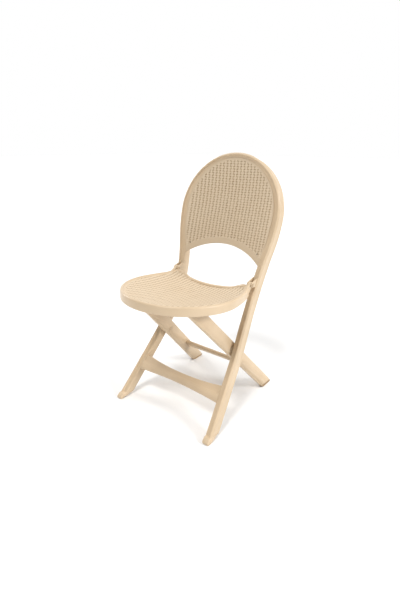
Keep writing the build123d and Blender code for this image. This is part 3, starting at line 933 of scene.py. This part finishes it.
nylon = nylon_material()
repaint("crossing_washer_right", nylon)
repaint("crossing_washer_left", nylon)

# ---------------------------------------------------------------- rear stretcher, bar and pads
# A slim board joins the planks low down, a round bar joins their tops under the
# seat, and a thin pad is pressed under each plank.
rear_foot = np.array([0.0, rear_foot_y, 0.0])
rear_up = np.array([0.0, -math.sin(rear_lean), math.cos(rear_lean)])
rear_out = np.array([0.0, -math.cos(rear_lean), -math.sin(rear_lean)])
rear_low, rear_high, rear_sag = 0.096, 0.140, 0.009
rear_setback = 0.027


def rear_leg_inside(rise):
    """Half width between the rear planks at a distance up them."""
    height = (rise + 0.68 * rear_setback) * math.cos(rear_lean)
    return rear_foot_half - rear_width - rear_taper * height + 0.001


rear_stretcher = board(
    "rear_stretcher_board",
    (
        lambda share: rear_low + rear_sag * (1 - share**2),
        lambda share: rear_high - rear_sag * (1 - share**2),
        lambda share: (rear_low + rear_high) / 2 + 0 * share,
    ),
    front=-rear_setback,
    sink=0.0004,
    thickness=0.014,
    sides=rear_leg_inside,
    axes=(rear_foot, rear_up, rear_out),
)
dress(rear_stretcher, cream_plastic, "frame_plastic", "rear_legs", "rear_stretcher")
repaint("slide_bar", cream_plastic)
# painted shade: the pads under the planks are coloured darker than the frame, standing in for
# the shade under the feet
painted_shade_sole = moulded_plastic("sole_painted_shade", linear(176, 146, 108), linear(150, 122, 88))
repaint("rear_foot_right", painted_shade_sole)
repaint("rear_foot_left", painted_shade_sole)

# ---------------------------------------------------------------- seat shell
# The seat's rim is a rounded ring with a plain skirt below it. Along the curved
# rear edge the ring sinks to a thin lip. Two necks carry the hinge knuckles.
seat_place = np.array([0.0, -0.06485, 0.451])
seat_tilt = math.radians(3.6)
seat_back = np.array([0.0, math.cos(seat_tilt), -math.sin(seat_tilt)])
seat_up = np.array([0.0, math.sin(seat_tilt), math.cos(seat_tilt)])
seat_radius = 0.202
side_start = math.radians(8.0)
horn_half = 0.163
horn_end = 0.168
cut_radius = 0.335
cut_centre = 0.478
skirt_height = 0.029
skirt_wall = 0.0045
rim_width = 0.014
lip_height = 0.011
lip_drop = 0.012


def seat_point(x, y, z):
    """A point in the seat's own plane, which rises towards the front."""
    x, y, z = np.broadcast_arrays(x, y, z)
    level = seat_place + x[..., None] * across + y[..., None] * seat_back
    return level + z[..., None] * seat_up


bowl_depth = 0.021
bowl_centre_y = 0.030
bowl_edge = 0.0028
seat_wall = 0.0030
horn_lift = 0.0085


def ease_horn(x, y):
    """How far the seat's rear horns rise towards the hinge, 0 over the rest of it."""
    return horn_lift * ease(y, 0.105, 0.168) ** 1.5 * ease(np.abs(x), 0.085, 0.140)


def bowl_drop(x, y):
    """How far the dish lies below the rim: a bowl that is deepest behind the middle."""
    length = np.where(y < bowl_centre_y, 0.213, 0.26)
    share = np.hypot(x / 0.183, (y - bowl_centre_y) / length)
    bowl = bowl_depth * np.clip(1 - share**2, 0, 1)
    rear = ease(y, 0.09, 0.15) * np.clip(1 - (np.abs(x) / 0.150) ** 2, 0, 1)
    return np.maximum(bowl, lip_drop * rear)


def seat_half_line():
    """The right half of the seat's edge from its front: disc, side arc, horn and cut."""
    angle = np.linspace(-math.pi / 2, side_start, 500)
    disc = seat_radius * np.stack([np.cos(angle), np.sin(angle)], 1)
    start = disc[-1]
    tangent = np.array([-math.sin(side_start), math.cos(side_start)])
    chord = np.array([horn_half, horn_end]) - start
    turn = math.atan2(tangent[0] * chord[1] - tangent[1] * chord[0], tangent @ chord)
    radius = np.linalg.norm(chord) / (2 * math.sin(turn))
    centre = start + radius * np.array([-tangent[1], tangent[0]])
    swing = np.linspace(0, 2 * turn, 200)
    spoke = start - centre
    side = centre + np.stack(
        [
            spoke[0] * np.cos(swing) - spoke[1] * np.sin(swing),
            spoke[0] * np.sin(swing) + spoke[1] * np.cos(swing),
        ],
        1,
    )
    cut_angle = math.acos((cut_centre - horn_end) / cut_radius)
    back = np.linspace(cut_angle, 0, 300)
    cut = np.stack([cut_radius * np.sin(back), cut_centre - cut_radius * np.cos(back)], 1)
    horn = np.array([(horn_half - 0.005, horn_end)])
    return np.concatenate([disc, side[1:-20], horn, cut[4:]])


half_edge = spaced(seat_half_line(), 260)
edge = np.concatenate([half_edge, half_edge[-2:0:-1] * np.array([-1, 1])])
for _ in range(6):  # softens the horn corners
    edge = (np.roll(edge, 1, axis=0) + 2 * edge + np.roll(edge, -1, axis=0)) / 4
run = np.roll(edge, -1, axis=0) - np.roll(edge, 1, axis=0)
run /= np.linalg.norm(run, axis=1)[:, None]
edge_in = np.stack([-run[:, 1], run[:, 0]], 1)
for _ in range(8):
    edge_in = (np.roll(edge_in, 1, axis=0) + 2 * edge_in + np.roll(edge_in, -1, axis=0)) / 4
edge_in /= np.linalg.norm(edge_in, axis=1)[:, None]
at_cut = (edge[:, 1] > 0.1) * ease(0.150 - np.abs(edge[:, 0]), 0.0, 0.040)
at_cut = np.where(edge[:, 1] > 0.13, at_cut, 0.0)
rim_section = rounded_loop(
    [
        (0.0, 0.0),
        (0.0, -skirt_height),
        (skirt_wall, -skirt_height),
        (skirt_wall, -0.0115),
        (rim_width + 0.003, -0.0115),
        (rim_width + 0.003, -0.0045),
        (rim_width - 0.004, -0.0002),
        (0.008, 0.0006),
    ],
    [0.0055, 0.0018, 0.0012, 0.002, 0.001, 0.002, 0.006, 0.010],
    6,
)
lip_section = rounded_loop(
    [
        (0.0, 0.0),
        (0.0, -lip_height),
        (skirt_wall, -lip_height),
        (skirt_wall + 0.001, -0.0085),
        (0.012, -0.0085),
        (0.012, -0.0040),
        (0.009, -0.0008),
        (0.005, 0.0002),
    ],
    [0.0035, 0.0012, 0.0008, 0.0008, 0.001, 0.0012, 0.0025, 0.003],
    6,
)
share = at_cut[:, None, None]
profile = rim_section + (lip_section - rim_section) * share
rear_sag_down = lip_drop * at_cut * np.clip(1 - (np.abs(edge[:, 0]) / 0.150) ** 2, 0, 1)
ring_xy = edge[:, None] + profile[..., :1] * edge_in[:, None]
horn_up = ease_horn(edge[:, 0], edge[:, 1])
ring_z = profile[..., 1] + (horn_up - rear_sag_down)[:, None]
rim = skin("seat_rim", seat_point(ring_xy[..., 0], ring_xy[..., 1], ring_z), closed=True)
dress(rim, cream_plastic, "frame_plastic", "seat", "seat_shell")

# ---------------------------------------------------------------- hinge necks and rails
# Each neck rises from the seat's horn to the knuckle between the ears. Two pairs
# of rails under the seat guide the tops of the rear legs.
neck_middle = ear_inner + ear_thickness + knuckle_gap + knuckle_width / 2
rail_rear, rail_front, rail_foot, rail_wall = 0.080, -0.120, -0.020, 0.003
neck_loop = hull_loop(
    [
        (hinge_y, hinge_z, ear_radius),
        (hinge_y - 0.040, hinge_z - 0.016, 0.0035),
        (hinge_y - 0.016, hinge_z - 0.021, 0.004),
    ],
    72,
)
for side_name, side in (("right", 1), ("left", -1)):
    near, far = sorted(
        (side * (neck_middle - knuckle_width / 2), side * (neck_middle + knuckle_width / 2))
    )
    neck = slab(f"hinge_neck_{side_name}", neck_loop, near, far, 0.0012)
    dress(neck, cream_plastic, "frame_plastic", "seat")
    for rail_name, rail_x in (("inner", 0.104), ("outer", 0.130)):
        rail_y = np.linspace(rail_rear, rail_front, 24)
        rail_top = bowl_drop(rail_x + rail_wall / 2, rail_y)
        rail_top = -bowl_edge - rail_top - 0.5 * seat_wall
        rail_low = np.minimum(rail_top - 0.003, rail_foot)
        loop = np.concatenate(
            [np.stack([rail_y, rail_top], 1), np.stack([rail_y, rail_low], 1)[::-1]]
        )
        turned = np.stack(
            [
                seat_place[1] + loop[:, 0] * seat_back[1] + loop[:, 1] * seat_up[1],
                seat_place[2] + loop[:, 0] * seat_back[2] + loop[:, 1] * seat_up[2],
            ],
            1,
        )
        near, far = sorted((side * rail_x, side * (rail_x + rail_wall)))
        rail = slab(f"slide_rail_{rail_name}_{side_name}", turned, near, far, 0.0005, 3)
        dress(rail, cream_plastic, "frame_plastic", "seat")

# ---------------------------------------------------------------- woven seat
# The same wicker relief on a round dish that sinks below the rim. It runs out in
# the plain rim all round.
inner_line = edge + (rim_width - 0.0010 - 0.010 * at_cut[:, None]) * edge_in
half_count = len(inner_line) // 2 + 1
right_line = inner_line[:half_count]
corner = int(np.argmax(right_line[:, 1] + 0.6 * right_line[:, 0]))
front_corner = int(0.30 * corner)
seat_mirror = np.array([-1, 1])
right_edge = right_line[front_corner : corner + 1]
front_half = right_line[: front_corner + 1]
front_edge = np.concatenate([front_half[::-1] * seat_mirror, front_half[1:]])
rear_edge = np.concatenate([right_line[corner:] * seat_mirror, right_line[corner:-1][::-1]])
seat_columns, seat_rows = 214, 208
seat_grid = coons_patch(
    spaced(front_edge, seat_columns),
    spaced(rear_edge, seat_columns),
    spaced(right_edge * seat_mirror, seat_rows),
    spaced(right_edge, seat_rows),
)
seat_x, seat_y = seat_grid[..., 0], seat_grid[..., 1]
edge_distance = np.full(seat_x.shape, 1.0)
for line in (front_edge, rear_edge, right_edge, right_edge * seat_mirror):
    coarse = spaced(line, 60)
    gap = np.hypot(seat_x[..., None] - coarse[:, 0], seat_y[..., None] - coarse[:, 1])
    edge_distance = np.minimum(edge_distance, gap.min(-1))
bowl = bowl_drop(seat_x, seat_y) - ease_horn(seat_x, seat_y)
seat_weave = wicker(seat_x + 0.5 * stake_pitch, seat_y)
seat_woven = ease(edge_distance, 0.0030, 0.0055)
rear_lift = 0.0022 * ease(seat_y, 0.085, 0.130)
seat_height = -bowl_edge + rear_lift - bowl - (1 - seat_weave) * weave_relief * seat_woven
seat_points = seat_point(seat_x, seat_y, seat_height)
seat_shown = np.where(seat_woven < 0.5, bare_tone, 1 - (1 - seat_weave) * seat_woven)
seat_panel = woven_sheet("seat_panel_weave", seat_points, seat_shown, seat_wall)
dress(seat_panel, woven_plastic, "woven_plastic", "seat", "seat_panel")
